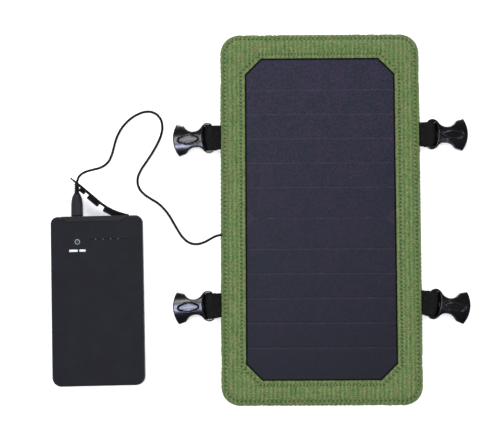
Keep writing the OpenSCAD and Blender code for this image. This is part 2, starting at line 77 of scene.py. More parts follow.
# --- frames of reference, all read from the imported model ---

def plan_frame(origin, x_axis):
    """Matrix of a frame that is level, with its X axis along x_axis."""
    x = Vector((x_axis[0], x_axis[1], 0)).normalized()
    y = Vector((-x.y, x.x, 0))
    place = Matrix.Identity(4)
    place.col[0][:3] = x
    place.col[1][:3] = y
    place.col[3][:3] = origin
    return place


def bank_frame():
    """The power bank's own frame: origin under its centre, +Y towards its ports."""
    y = MOUNTS["usb_a_socket_1"]["axis"]
    return plan_frame(MOUNTS["bank_underside"]["pos_m"], (y[1], -y[0]))


def strap_frame(corner):
    """A strap's own frame at table height: origin at the fold line, +X out to the buckle's mouth."""
    fold = JOINTS["fold_" + corner]
    pos = Vector(fold["pos_m"])
    return plan_frame((pos.x, pos.y, 0), (-fold["axis"][1], fold["axis"][0]))


BANK = bank_frame()
STRAPS = {c: strap_frame(c) for c in CORNERS}
FOLD_LINE = Vector(JOINTS["fold_upper_left"]["pos_m"])
BAR_LINE = Vector(JOINTS["buckle_turn_upper_left"]["pos_m"])
FOLD_Z = FOLD_LINE.z
BAR_X = (BAR_LINE - FOLD_LINE).xy.length
BAR_Z = BAR_LINE.z


# --- camera ---

def add_camera():
    data = bpy.data.cameras.new("camera")
    set_all(data, lens=118.6, sensor_width=36, clip_start=0.05)
    scene.camera = new_object("camera", data)
    scene.camera.location = (-0.0430, -0.1123, 1.3473)
    scene.camera.rotation_euler = [math.radians(a) for a in (4.889, 0.657, -0.273)]


# --- materials ---

def srgb(*values):
    """A colour given as it looks on a screen, 0 to 255, as the linear values that a shader takes."""
    return tuple(v / 255 / 12.92 if v <= 10 else ((v / 255 + 0.055) / 1.055) ** 2.4 for v in values)


def srgb_rgba(*values):
    return (*srgb(*values), 1)


class Finish:
    """A material with one Principled shader, and short calls that add procedural detail to it."""

    def __init__(self, name, color, roughness, **constant):
        self.material = bpy.data.materials.new(name)
        self.material.use_nodes = True
        self.tree = self.material.node_tree
        self.shader = self.tree.nodes["Principled BSDF"]
        self.shader.inputs["Base Color"].default_value = (*color, 1)
        self.shader.inputs["Roughness"].default_value = roughness
        for key, value in constant.items():
            self.shader.inputs[key.replace("_", " ")].default_value = value
        self.height = None

    def add(self, kind, *inputs, **props):
        """Adds a node. inputs are pairs of socket and either a value or another node's output."""
        node = self.tree.nodes.new(kind)
        for key, value in props.items():
            setattr(node, key, value)
        for socket, value in inputs:
            if isinstance(value, bpy.types.NodeSocket):
                self.tree.links.new(value, node.inputs[socket])
            else:
                node.inputs[socket].default_value = value
        return node

    def along_y(self):
        """The Y coordinate in metres."""
        return self.add("ShaderNodeSeparateXYZ", ("Vector", self.place())).outputs["Y"]

    def place(self, uv=None, stretch=(1, 1, 1)):
        """Coordinates in metres: the object's own, or a map laid along a strap."""
        source = self.add("ShaderNodeUVMap", uv_map=uv) if uv else self.add("ShaderNodeTexCoord")
        out = source.outputs["UV" if uv else "Object"]
        return self.add("ShaderNodeMapping", ("Vector", out), ("Scale", stretch)).outputs["Vector"]

    def noise(self, where, size, detail=3.0, distortion=0.0):
        """Noise whose patches are about size metres across."""
        node = self.add("ShaderNodeTexNoise", ("Vector", where), ("Scale", 1 / size), ("Detail", detail),
                        ("Distortion", distortion))
        return node.outputs["Fac"]

    def ribs(self, where, pitch, direction, distortion=0.0, detail_size=0.004):
        """Ribs a pitch apart, in metres."""
        node = self.add("ShaderNodeTexWave", ("Vector", where), ("Scale", math.pi / 10 / pitch),
                        ("Distortion", distortion), ("Detail", 2.0),
                        ("Detail Scale", pitch / detail_size), bands_direction=direction)
        return node.outputs["Fac"]

    def math(self, operation, a, b):
        return self.add("ShaderNodeMath", (0, a), (1, b), operation=operation).outputs[0]

    def ramp(self, value, *stops):
        """A colour ramp with stops of (position, colour)."""
        node = self.add("ShaderNodeValToRGB", ("Fac", value))
        band = node.color_ramp.elements
        while len(band) < len(stops):
            band.new(0.5)
        for element, (position, color) in zip(band, stops):
            element.position = position
            element.color = (*color, 1)
        return node.outputs["Color"]

    def mix(self, share, a, b, blend="MIX"):
        node = self.add("ShaderNodeMix", (0, share), (6, a), (7, b), data_type="RGBA", blend_type=blend)
        return node.outputs[2]

    def color(self, value):
        self.tree.links.new(value, self.shader.inputs["Base Color"])

    def remap(self, value, low, high, new_low=0.0, new_high=1.0):
        """Maps a value from one range to another."""
        node = self.add("ShaderNodeMapRange", ("Value", value), ("From Min", low), ("From Max", high),
                        ("To Min", new_low), ("To Max", new_high))
        return node.outputs["Result"]

    def roughness(self, value, low, high):
        self.tree.links.new(self.remap(value, 0.0, 1.0, low, high), self.shader.inputs["Roughness"])

    def bump(self, height, distance):
        """Adds relief of distance metres on top of any that is there already."""
        inputs = [("Height", height), ("Distance", distance)]
        if self.height:
            inputs.append(("Normal", self.height))
        self.height = self.add("ShaderNodeBump", *inputs).outputs["Normal"]
        self.tree.links.new(self.height, self.shader.inputs["Normal"])


def fabric_finish():
    """Olive ribbed polyester: vertical ribs crossed by weft, in patches of green and olive brown."""
    f = Finish("olive_fabric", srgb(92, 112, 68), 0.85, Sheen_Weight=0.06, Sheen_Roughness=0.5,
               Specular_IOR_Level=0.25)
    where = f.place()
    ribs = f.ribs(where, 3.6 * MM, "X", 1.0, 9 * MM)
    warp = f.ribs(where, 1.2 * MM, "X", 0.8, 4 * MM)
    weft = f.ribs(where, 1.4 * MM, "Y", 0.8, 4 * MM)
    patches = f.noise(f.place(stretch=(1, 0.4, 1)), 3.4 * MM, 3.0, 0.3)
    flecks = f.noise(where, 1.3 * MM, 2.0)
    base = f.ramp(patches, (0.32, srgb(74, 104, 50)), (0.50, srgb(90, 112, 62)), (0.70, srgb(110, 108, 72)))
    ribbed = f.mix(f.math("MULTIPLY", ribs, 0.45), base, srgb_rgba(130, 148, 102))
    fleck = f.ramp(flecks, (0.36, (0.66, 0.68, 0.62)), (0.62, (1.20, 1.20, 1.16)))
    woven = f.mix(1.0, ribbed, fleck, "MULTIPLY")
    threads = f.math("MULTIPLY", warp, weft)
    grain = f.ramp(threads, (0.0, (0.78, 0.80, 0.76)), (0.7, (1.10, 1.10, 1.10)))
    cloth = f.mix(1.0, woven, grain, "MULTIPLY")
    # painted shade: the seam attribute darkens the cloth in the creases along the seams and most at the stitch
    # holes; it also makes the hem outside the outer seam a little darker
    painted_seam_shade_and_darker_hem = f.add("ShaderNodeAttribute", attribute_name="seam").outputs["Fac"]
    f.color(f.mix(painted_seam_shade_and_darker_hem, cloth, srgb_rgba(20, 36, 8)))
    f.roughness(flecks, 0.75, 0.95)
    f.bump(ribs, 0.22 * MM)
    f.bump(threads, 0.18 * MM)
    return f.material


def speckled_finish(name, tones, roughness, size, detail, depth=0.01, stretch=(1, 1, 1), **constant):
    """One fine noise for both colour and relief. tones are two pairs of noise level and colour."""
    f = Finish(name, srgb(*tones[1][1]), roughness, **constant)
    speck = f.noise(f.place(stretch=stretch), size * MM, detail)
    f.color(f.ramp(speck, *[(level, srgb(*color)) for level, color in tones]))
    f.bump(speck, depth * MM)
    return f.material


def webbing_finish():
    """Black woven webbing: a herringbone of ribs on a map that runs along the strap."""
    f = Finish("black_webbing", srgb(10, 10, 10), 0.8, Specular_IOR_Level=0.12)
    where = f.place(uv="along")
    cross = f.ribs(where, 0.95 * MM, "Y", 0.5, 3 * MM)
    slant = f.ribs(where, 1.25 * MM, "DIAGONAL", 0.6, 3 * MM)
    weave = f.math("MAXIMUM", cross, f.math("MULTIPLY", slant, 0.8))
    lint = f.noise(where, 2.4 * MM, 5.0, 0.6)
    dust = f.ramp(lint, (0.40, srgb(3, 3, 3)), (0.56, srgb(10, 9, 10)), (0.7, srgb(44, 40, 43)))
    f.color(f.mix(f.math("MULTIPLY", weave, 0.6), dust, srgb_rgba(22, 21, 22)))
    f.roughness(lint, 0.65, 0.9)
    f.bump(weave, 0.22 * MM)
    return f.material


def moulded_finish(name, color, roughness, grain, spread=0.12, depth=0.02, specular=0.5):
    """Moulded plastic or rubber: slight clouding, uneven gloss and a fine grain."""
    f = Finish(name, srgb(*color), roughness, Specular_IOR_Level=specular)
    where = f.place()
    cloud = f.noise(where, 14 * MM, 4.0, 0.3)
    fine = f.noise(where, grain * MM, 3.0)
    dark = tuple(c * 0.78 for c in color)
    light = tuple(c * 1.2 for c in color)
    f.color(f.ramp(f.math("ADD", f.math("MULTIPLY", cloud, 0.7), f.math("MULTIPLY", fine, 0.3)),
                   (0.38, srgb(*dark)), (0.62, srgb(*light))))
    f.roughness(f.math("ADD", f.math("MULTIPLY", cloud, 0.5), f.math("MULTIPLY", fine, 0.5)),
                max(0.05, roughness - spread), roughness + spread)
    f.bump(fine, depth * MM)
    return f.material


def painted_reflection_falloff(f, color, dimming):
    """Painted reflection: multiplies a colour by dimming at the window's lower end, fading to no change at its
    upper end, so the upper end looks lit by a reflection of the lamps.
    """
    span = PAD_HIGH.y - WINDOW_BORDER
    dimmed = f.mix(1.0, color, (*dimming, 1), "MULTIPLY")
    return f.mix(f.remap(f.along_y(), -span, span), dimmed, color)


def cell_finish():
    """Blue-black silicon, its blue drifting from patch to patch, with a fine speckle."""
    f = Finish("silicon", srgb(22, 22, 38), 0.5, Specular_IOR_Level=0.3)
    drift = f.noise(f.place(stretch=(1, 0.6, 1)), 24 * MM, 4.0, 0.8)
    speck = f.noise(f.place(), 2.2 * MM, 3.0)
    tint = f.ramp(drift, (0.34, srgb(14, 20, 38)), (0.5, srgb(21, 22, 40)), (0.66, srgb(30, 22, 40)))
    speckled = f.mix(f.math("MULTIPLY", speck, 0.5), tint, srgb_rgba(32, 30, 56))
    # painted reflection: the cells are painted darker towards the window's lower end
    f.color(painted_reflection_falloff(f, speckled, (0.3, 0.3, 0.34)))
    f.roughness(speck, 0.42, 0.55)
    f.bump(speck, 0.01 * MM)
    return f.material


def film_finish():
    """Satin film: half of what shows is the cells under it, and the rest a clouded blue bloom."""
    f = Finish("satin_film", srgb(22, 24, 40), 0.46, Alpha=0.5, Specular_IOR_Level=0.42)
    where = f.place()
    haze = f.noise(where, 5 * MM, 4.0, 0.5)
    mottle = f.noise(where, 1.7 * MM, 3.0)
    bloom = f.ramp(mottle, (0.40, srgb(4, 6, 18)), (0.60, srgb(50, 50, 78)))
    drift = f.ramp(f.noise(where, 11 * MM, 3.0, 0.6), (0.40, srgb(8, 24, 44)), (0.60, srgb(48, 28, 56)))
    clouded = f.mix(f.math("ADD", f.math("MULTIPLY", haze, 0.3), 0.3), bloom, drift)
    # painted reflection: the film is painted darker towards the window's lower end
    f.color(painted_reflection_falloff(f, clouded, (0.25, 0.25, 0.3)))
    f.roughness(haze, 0.42, 0.50)
    f.bump(mottle, 0.03 * MM)
    return f.material


def board_finish(name, color, light, middle=None):
    """A board with woven glass just under its surface. middle is a laminate's darker tone halfway up."""
    f = Finish(name, srgb(*color), 0.45)
    where = f.place()
    weave = f.math("MULTIPLY", f.ribs(where, 0.9 * MM, "X", 0.3), f.ribs(where, 0.9 * MM, "Y", 0.3))
    board = f.ramp(weave, (0.2, srgb(*color)), (0.9, srgb(*light)))
    if middle:
        share = f.remap(f.math("ABSOLUTE", f.along_y(), 0.0), 9 * MM, 14 * MM)
        # painted reflection: the laminate is painted darker towards the window's lower end
        board = f.mix(share, srgb_rgba(*middle), painted_reflection_falloff(f, board, (0.55, 0.5, 0.5)))
    f.color(board)
    f.bump(weave, 0.03 * MM)
    return f.material


def metal_finish(name, color, roughness, pitch=0.25):
    """Plated or drawn metal, with fine lines and tarnish."""
    f = Finish(name, srgb(*color), roughness, Metallic=1.0)
    lines = f.noise(f.place(stretch=(1, 12, 1)), pitch * MM, 3.0)
    tarnish = f.noise(f.place(), 3 * MM, 4.0, 0.5)
    dark = tuple(c * 0.72 for c in color)
    f.color(f.ramp(tarnish, (0.35, srgb(*dark)), (0.6, srgb(*color))))
    f.roughness(lines, roughness * 0.7, min(1.0, roughness * 1.4))
    f.bump(lines, 0.01 * MM)
    return f.material


def foam_finish():
    f = Finish("closed_cell_foam", srgb(214, 214, 208), 0.9)
    cells = f.add("ShaderNodeTexVoronoi", ("Vector", f.place()), ("Scale", 900.0)).outputs["Distance"]
    f.color(f.ramp(cells, (0.1, srgb(178, 178, 170)), (0.7, srgb(222, 222, 216))))
    f.bump(cells, 0.15 * MM)
    return f.material


def ink_finish(name, shade):
    """Print that is worn a little darker in spots."""
    worn = tuple(0.82 * c for c in shade)
    return speckled_finish(name, ((0.30, worn), (0.5, shade)), 0.5, 0.7, 4.0)


# --- meshes ---

def new_object(name, data):
    obj = bpy.data.objects.new(name, data)
    scene.collection.objects.link(obj)
    return obj


def set_material(obj, material):
    obj.data.materials.clear()
    obj.data.materials.append(material)


def finish_piece(obj, body, slot, *nodes, material=None, transform=None):
    """Places a new piece, gives it its finish, hides the CAD nodes it stands in for, and parents it to its body.
    """
    if transform is not None:
        obj.data.transform(transform)
    set_material(obj, material or FINISHES[slot])
    if nodes:
        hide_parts(*nodes)
    if body:
        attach(obj, body)
    return obj


def shade_smooth(data):
    data.polygons.foreach_set("use_smooth", [True] * len(data.polygons))


def mesh_object(name, points, faces, smooth=True):
    data = bpy.data.meshes.new(name)
    data.from_pydata([tuple(p) for p in points], [], [tuple(f) for f in faces])
    data.validate()
    if smooth:
        shade_smooth(data)
    return new_object(name, data)


def ring_faces(rings, count, first=0, closed=True):
    """Quads between rings of count points each."""
    last = count if closed else count - 1
    faces = []
    for r in range(rings - 1):
        for c in range(last):
            a = first + r * count + c
            b = first + r * count + (c + 1) % count
            faces.append((a, b, b + count, a + count))
    return faces


def loft(name, rings, caps=(True, True), smooth=True):
    """A skin through rings of equally many points, in order, with its ends closed."""
    count = len(rings[0])
    points = [p for ring in rings for p in ring]
    faces = ring_faces(len(rings), count)
    if caps[0]:
        faces.append(tuple(reversed(range(count))))
    if caps[1]:
        faces.append(tuple(range(len(points) - count, len(points))))
    return mesh_object(name, points, faces, smooth)


def prism(name, outline, z0, z1):
    """An outline in X and Y, counter-clockwise, extruded from z0 to z1."""
    return loft(name, [[(x, y, z) for x, y in outline] for z in (z0, z1)], smooth=False)


def lathe(name, x, y, sections, count=24, caps=(True, True)):
    """A round solid about an upright axis, from its radii and heights."""
    rings = [[(px, py, z) for px, py in circle_outline(x, y, r, count)] for r, z in sections]
    return loft(name, rings, caps)


def box_outline(x0, x1, y0, y1):
    return [(x0, y0), (x1, y0), (x1, y1), (x0, y1)]


def circle_outline(x, y, r, count=32):
    turns = [2 * math.pi * k / count for k in range(count)]
    return [(x + r * math.cos(t), y + r * math.sin(t)) for t in turns]


def rounded_polygon(corners, radius, steps=6):
    """A polygon with each corner rounded to radius, or to the corner's own third value."""
    points = []
    for k, corner in enumerate(corners):
        here = Vector(corner[:2])
        back = (Vector(corners[k - 1][:2]) - here).normalized()
        ahead = (Vector(corners[(k + 1) % len(corners)][:2]) - here).normalized()
        r = corner[2] if len(corner) > 2 else radius
        half = back.angle(ahead) / 2
        centre = here + (back + ahead).normalized() * r / math.sin(half)
        a, b = here + back * r / math.tan(half), here + ahead * r / math.tan(half)
        for s in range(steps + 1):
            arm = (a - centre).lerp(b - centre, s / steps).normalized() * r
            points.append(tuple(centre + arm))
    return points


def set_all(target, **settings):
    for key, value in settings.items():
        setattr(target, key, value)


def modify(obj, kind, **settings):
    """Adds a modifier with its settings."""
    step = obj.modifiers.new(kind.lower(), kind)
    set_all(step, **settings)
    return step


def cut(obj, *tools):
    """Takes each tool away from obj and removes it."""
    for tool in tools:
        modify(obj, "BOOLEAN", operation="DIFFERENCE", solver="EXACT", object=tool)
        apply_modifiers(obj)
        bpy.data.objects.remove(tool)


def apply_modifiers(obj):
    """Turns an object's modifiers into plain mesh."""
    graph = bpy.context.evaluated_depsgraph_get()
    graph.update()
    data = bpy.data.meshes.new_from_object(obj.evaluated_get(graph))
    obj.modifiers.clear()
    old = obj.data
    obj.data = data
    bpy.data.meshes.remove(old)


def soften(obj, width, segments=3, angle=50):
    """Rounds the edges sharper than angle."""
    modify(obj, "WELD", merge_threshold=0.01 * MM)
    modify(obj, "BEVEL", width=width, segments=segments, limit_method="ANGLE",
           angle_limit=math.radians(angle), miter_outer="MITER_ARC")
    apply_modifiers(obj)
    shade_by_size(obj)
    return obj


def shade_by_size(obj):
    """Smooth shading on the small faces of rounded edges, flat on the broad faces between them."""
    broad = 6 * MM * MM
    obj.data.polygons.foreach_set("use_smooth", [p.area < broad for p in obj.data.polygons])


def merge(name, objects):
    """Joins meshes into one piece."""
    made = bmesh.new()
    for obj in objects:
        made.from_mesh(obj.data)
        bpy.data.objects.remove(obj)
    data = bpy.data.meshes.new(name)
    made.to_mesh(data)
    made.free()
    shade_smooth(data)
    return new_object(name, data)


# --- cable ---

# The cable's own route, in millimetres, the same as the CAD model's
CABLE_ROUTE = [
    (-81.5, -13, 2.8), (-86, -14, 2.4), (-91, -16.5, 1.6), (-96, -19, 1), (-101.5, -20.3, 1),
    (-107.5, -19.2, 1), (-113, -14.8, 1), (-117, -9, 1), (-120.5, -3, 1), (-124, 3, 1),
    (-128.3, 8.6, 1), (-133.5, 13.5, 1), (-139.3, 17.2, 1), (-145, 21.2, 1), (-149.2, 26.8, 1),
    (-150.2, 33.5, 1), (-148, 40, 1), (-144.2, 46, 1), (-140.3, 51.8, 1), (-136.6, 57.8, 1),
    (-133.3, 64, 1), (-130.8, 70.5, 1), (-129.9, 77.3, 1), (-131.8, 84, 1), (-137, 88.5, 1),
    (-143.7, 89.3, 1), (-150.2, 87.2, 1), (-156, 83.6, 1), (-161, 78.9, 1), (-165, 73.2, 1),
    (-167.9, 66.8, 1), (-169.8, 60.1, 1), (-171.7, 53.3, 1), (-175, 47.2, 1.3), (-180.5, 43.2, 2),
    (-187, 41.2, 3), (-193.2, 39.2, 4.2), (-197.8, 35.6, 5.2), (-199.8, 30.4, 5.5),
]
CABLE_D = 2.0 * MM


def make_cable():
    data = bpy.data.curves.new("solar_cable_sheath", "CURVE")
    set_all(data, dimensions="3D", bevel_depth=CABLE_D / 2, bevel_resolution=5, resolution_u=10,
            use_fill_caps=True)
    spline = data.splines.new("BEZIER")
    spline.bezier_points.add(len(CABLE_ROUTE) - 1)
    for point, place in zip(spline.bezier_points, CABLE_ROUTE):
        set_all(point, co=Vector(place) * MM, handle_left_type="AUTO", handle_right_type="AUTO")
    return finish_piece(new_object("solar_cable_sheath", data), "root", "cable", "solar_cable")


def make_plug():
    """The moulded grip: a flange, a groove, a bullet body with flat cheeks, and its ribbed tail."""
    low, high = bank_span("plug_body")
    width, height = 9.6 * MM, 6.8 * MM
    length = high.y - low.y
    shape = [
        (0, 0.90), (0.01, 0.95), (0.045, 0.95), (0.06, 0.86), (0.085, 0.86), (0.105, 0.97), (0.16, 1.0),
        (0.35, 1.0), (0.58, 0.99), (0.68, 0.96), (0.78, 0.90), (0.87, 0.80), (0.94, 0.68), (0.985, 0.57),
        (1.0, 0.50),
    ]
    centre = Vector(((low.x + high.x) / 2, low.y, (low.z + high.z) / 2))
    rings = []
    for share, size in shape:
        roundness = max(0.0, (share - 0.55) / 0.45)
        power = 2 / (3.4 - 1.4 * roundness)
        half_w, half_h = width / 2 * size, height / 2 * (size * 0.5 + 0.5 * size ** 0.7)
        ring = []
        for cos, sin in circle_outline(0, 0, 1, 40):
            x, z = math.copysign(abs(cos) ** power, cos), math.copysign(abs(sin) ** power, sin)
            ring.append((centre.x + x * half_w, centre.y + share * length, centre.z + z * half_h))
        rings.append(ring)
    grip = loft("plug_grip", [list(reversed(r)) for r in rings])
    finish_piece(grip, "root", "plug", "plug_body", transform=BANK)
    low, high = bank_span("strain_relief")
    radius = 2.35 * MM
    length = high.y - low.y
    steps, ribs = 60, 5
    rings = []
    for k in range(steps + 1):
        share = k / steps
        wave = 0.5 + 0.5 * math.tanh(6 * math.cos(2 * math.pi * (share * ribs - 0.25)))
        r = radius * (1.0 - 0.10 * share) * (0.74 + 0.26 * wave)
        if share > 0.97:
            r *= 0.82
        circle = circle_outline(centre.z, centre.x, r)
        rings.append([(x, low.y + share * length, z) for z, x in circle])
    tail = loft("plug_strain_relief", rings)
    finish_piece(tail, "root", "plug", "strain_relief", material=PLUG_TAIL, transform=BANK)
    return [grip, tail]


def bank_span(node):
    """Lowest and highest corner of a node in the bank's own frame."""
    back = BANK.inverted()
    points = [back @ v.co for v in frame["nodes"][node].data.vertices]
    low = Vector([min(p[i] for p in points) for i in range(3)])
    high = Vector([max(p[i] for p in points) for i in range(3)])
    return low, high


# --- fabric pad ---

PAD_LOW, PAD_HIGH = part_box("front_cover")
PAD_HALF = Vector((PAD_HIGH.x, PAD_HIGH.y))
PAD_R = 16 * MM
WINDOW_BORDER = 20 * MM
WINDOW_CHAMFER = 13.3 * MM
FILM_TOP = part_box("front_film")[1].z
STITCH = 3.5 * MM
SEAM_OUTER = 3.4
SEAM_INNER = 16.4


def side_counts():
    """Columns of mesh on each side and corner of the pad, three to a stitch."""
    lines = [2 * (PAD_HALF.y - PAD_R), 2 * (PAD_HALF.x - PAD_R)]
    arc = math.pi / 2 * (PAD_R - SEAM_OUTER * MM)
    return [3 * round(run / STITCH) for run in (lines[0], arc, lines[1], arc)] * 2


COUNTS = side_counts()
COLUMNS = sum(COUNTS)


def pad_ring(inset):
    """Points at an inset from the pad's edge, counter-clockwise from the lower end of the right side."""
    w, l, r = PAD_HALF.x - inset, PAD_HALF.y - inset, max(PAD_R - inset, 0.2 * MM)
    corners = [(w - r, l - r), (-w + r, l - r), (-w + r, -l + r), (w - r, -l + r)]
    points = []
    for side in range(4):
        turn = side * math.pi / 2
        before = Vector(corners[side - 1]) + r * Vector((math.cos(turn), math.sin(turn)))
        after = Vector(corners[side]) + r * Vector((math.cos(turn), math.sin(turn)))
        for k in range(COUNTS[2 * side]):
            points.append(before.lerp(after, k / COUNTS[2 * side]))
        for k in range(COUNTS[2 * side + 1]):
            a = turn + math.pi / 2 * k / COUNTS[2 * side + 1]
            points.append(Vector(corners[side]) + r * Vector((math.cos(a), math.sin(a))))
    return np.array(points)


def window_ring(margin):
    """Points at a margin outside the window's edge, matched one to one with pad_ring's."""
    w, l = PAD_HALF.x - WINDOW_BORDER + margin, PAD_HALF.y - WINDOW_BORDER + margin
    c = WINDOW_CHAMFER + margin * (2 - math.sqrt(2))
    ends = [((w, -l + c), (w, l - c)), ((w - c, l), (-w + c, l)),
            ((-w, l - c), (-w, -l + c)), ((-w + c, -l), (w - c, -l))]
    points = []
    for side in range(4):
        a, b = Vector(ends[side][0]), Vector(ends[side][1])
        following = Vector(ends[(side + 1) % 4][0])
        for k in range(COUNTS[2 * side]):
            points.append(a.lerp(b, k / COUNTS[2 * side]))
        for k in range(COUNTS[2 * side + 1]):
            points.append(b.lerp(following, k / COUNTS[2 * side + 1]))
    return np.array(points)


def border_ring(inset):
    """From the pad's own shape at its edge to the window's shape at the window."""
    share = smooth01((inset - 5 * MM) / (WINDOW_BORDER - 10 * MM))
    return pad_ring(inset) * (1 - share) + window_ring(WINDOW_BORDER - inset) * share


# Inset and height across the border, in millimetres: up the hem, over the padding, under the window's edge
BORDER_PROFILE = [
    (1.6, 0.75), (0.7, 0.8), (0.15, 1.5), (0, 2.5), (0.15, 3.5), (0.75, 4.4), (1.7, 4.95), (2.6, 5.05),
    (SEAM_OUTER, 4.8), (4.2, 5.25), (5.2, 5.95), (6.4, 6.5), (7.8, 6.85), (9.2, 7.02), (10.6, 7.1),
    (12, 7.12), (13.4, 7.1), (14.6, 7.02), (15.6, 6.9), (SEAM_INNER, 6.72), (17.2, 6.92), (18.1, 7.08),
    (19, 7.12), (19.7, 7), (20, 6.75), (19.85, 6.52), (19.2, 6.46),
]


def make_border():
    """The front cover's fabric, swelled between its stitches by a cloth simulation."""
    rings = []
    for inset, height in BORDER_PROFILE:
        flat = border_ring(inset * MM)
        rings.append(np.column_stack([flat, np.full(len(flat), height * MM)]))
    points = np.concatenate(rings)
    rows = len(rings)
    obj = mesh_object("front_fabric", points, ring_faces(rows, COLUMNS))
    seams = [[p[0] for p in BORDER_PROFILE].index(d) for d in (SEAM_OUTER, SEAM_INNER)]
    stitched = [row * COLUMNS + c for row in seams for c in range(0, COLUMNS, 3)]
    held = list(range(2 * COLUMNS)) + list(range((rows - 3) * COLUMNS, rows * COLUMNS)) + stitched
    swell(obj, held)
    # painted shade: darker in the seam creases and most at the stitch holes, where shade falls; the hem outside
    # the outer seam is made a little darker as well
    shade = obj.data.attributes.new("seam", "FLOAT", "POINT")
    dark = np.zeros((rows, COLUMNS), np.float32)
    dark[:seams[0] - 1] = 0.12
    for row in seams:
        dark[row] = 0.14
        dark[row - 1:row + 2, ::3] = 0.42
        dark[row, ::3] = 1.0
    shade.data.foreach_set("value", dark.ravel())
    co = vertex_array(obj)
    finish_piece(obj, "root", "fabric", "front_cover")
    return obj, [co[row * COLUMNS:(row + 1) * COLUMNS] for row in seams]


def vertex_array(obj):
    co = np.empty(len(obj.data.vertices) * 3, np.float32)
    obj.data.vertices.foreach_get("co", co)
    return co.reshape(-1, 3).astype(float)


def set_vertices(obj, co):
    obj.data.vertices.foreach_set("co", co.astype(np.float32).ravel())
    obj.data.update()


def swell(obj, held):
    """Blender's Cloth with a little pressure and some spare fabric, at ten times life size."""
    scale, frames = 10.0, 16
    most = 0.9 * MM
    deepest = 0.08 * MM
    before = vertex_array(obj)
    set_vertices(obj, before * scale)
    obj.vertex_groups.new(name="held").add(held, 1.0, "REPLACE")
    step = modify(obj, "CLOTH")
    set_all(step.settings, quality=5, mass=0.35, tension_stiffness=18, compression_stiffness=18,
            shear_stiffness=6, bending_stiffness=0.35, vertex_group_mass="held", use_pressure=True,
            uniform_pressure_force=0.9, shrink_min=-0.035)
    step.settings.effector_weights.gravity = 0
    step.collision_settings.use_collision = False
    set_all(scene, frame_start=1, frame_end=frames)
    for number in range(1, frames + 1):
        scene.frame_set(number)
    apply_modifiers(obj)
    after = vertex_array(obj) / scale
    move = after - before
    move[:, 2] = np.maximum(move[:, 2], -deepest)
    size = np.linalg.norm(move, axis=1)
    keep = np.minimum(1.0, most / np.maximum(size, 1e-9))
    set_vertices(obj, before + move * keep[:, None])
    obj.vertex_groups.clear()
    scene.frame_set(1)


def make_stitches(name, seam, lift=1.0, pitch=3):
    """One bowed thread for each stitch along a seam, its ends sunk in the fabric."""
    rng = random.Random(len(seam) + int(lift * 10))
    radius = 0.30 * MM
    points, faces = [], []
    around, along = 6, 5
    for c in range(0, len(seam), pitch):
        a, b = Vector(seam[c]), Vector(seam[(c + pitch) % len(seam)])
        run = b - a
        side = Vector((-run.y, run.x, 0)).normalized()
        up = Vector((0, 0, lift))
        slip = side * rng.uniform(-0.12, 0.12) * MM
        first = len(points)
        for k in range(along):
            share = k / (along - 1)
            middle = a + run * (0.26 + 0.48 * share) + slip
            rise = 0.36 * MM * math.sin(math.pi * share) ** 0.8 - 0.12 * MM
            r = radius * (0.55 + 0.45 * math.sin(math.pi * share))
            for q in range(around):
                t = 2 * math.pi * q / around
                points.append(middle + up * (rise + r * 0.8 * math.sin(t)) + side * r * math.cos(t))
        faces += ring_faces(along, around, first)
        faces.append(tuple(range(first, first + around)))
        faces.append(tuple(reversed(range(first + (along - 1) * around, first + along * around))))
    obj = mesh_object(name, points, faces)
    return finish_piece(obj, "root", "fabric", material=THREAD)


def make_back():
    """The back cover's fabric: flat on the table inside its stitches, and drawn up at the hem."""
    profile = [
        (1.7, 0.78), (0.75, 0.7), (0.35, 0.45), (0.8, 0.16), (1.8, 0.05), (2.7, 0.06), (SEAM_OUTER, 0.28),
        (4.1, 0.06), (5.2, 0), (7.5, 0), (12, 0), (20, 0), (32, 0), (46, 0), (60, 0), (72, 0),
    ]
    rings = []
    for inset, height in profile:
        flat = pad_ring(inset * MM)
        rings.append([(x, y, height * MM) for x, y in flat])
    obj = loft("back_fabric", rings, caps=(False, True))
    obj.data.flip_normals()
    # painted shade at the stitch holes of the back seam
    attribute = obj.data.attributes.new("seam", "FLOAT", "POINT")
    row = [p[0] for p in profile].index(SEAM_OUTER)
    dark = np.zeros(len(obj.data.vertices), np.float32)
    dark[row * COLUMNS:(row + 1) * COLUMNS:3] = 0.7
    attribute.data.foreach_set("value", dark)
    finish_piece(obj, "root", "fabric", "back_cover")
    seam = np.array(rings[row]) - np.array([0, 0, 0.02 * MM])
    stitches = make_stitches("back_stitches", seam, lift=-0.55)


def make_film():
    """The clear front sheet: it sinks a little at each joint between strips and has a slight ripple."""
    low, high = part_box("front_film")
    strips = [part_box("cell_strip_%02d" % n) for n in range(1, 13)]
    edges = sorted({round(v[side].y, 6) for v in strips for side in (0, 1)})
    joints = [(a + b) / 2 for a, b in zip(edges[1::2], edges[2::2])]
    columns, rows = 84, 300
    points = []
    for r in range(rows + 1):
        y = low.y + (high.y - low.y) * r / rows
        dip = max(math.exp(-((y - joint) / (0.9 * MM)) ** 2) for joint in joints)
        for c in range(columns + 1):
            x = low.x + (high.x - low.x) * c / columns
            wave = 0.04 * MM * math.sin(31 * x + 2.1) * math.sin(47 * y + 0.4)
            points.append((x, y, high.z - 0.03 * MM - 0.16 * MM * dip + wave * 0.7))
    obj = mesh_object("clear_front_sheet", points, ring_faces(rows + 1, columns + 1, closed=False))
    finish_piece(obj, "root", "film", "front_film")


def make_window_edge():
    """A black strip that lines the window's edge, pressed on the film: painted shadow in the gap under the
    fabric's edge, and partly the laminate's black margin.
    """
    section = [(0.35, 0), (0.35, 0.28), (0.1, 0.42), (-0.4, 0.42), (-0.95, 0.3), (-1.15, 0.1), (-1.15, 0)]
    rings = []
    for margin, height in section:
        rings.append([(x, y, FILM_TOP + height * MM) for x, y in window_ring(margin * MM)])
    obj = loft("window_edge", rings, caps=(False, False))
    finish_piece(obj, "root", "film", material=EDGE_SHADOW_AND_MARGIN)


# --- webbing and buckles ---

SLOT_RADIUS = 50 * MM


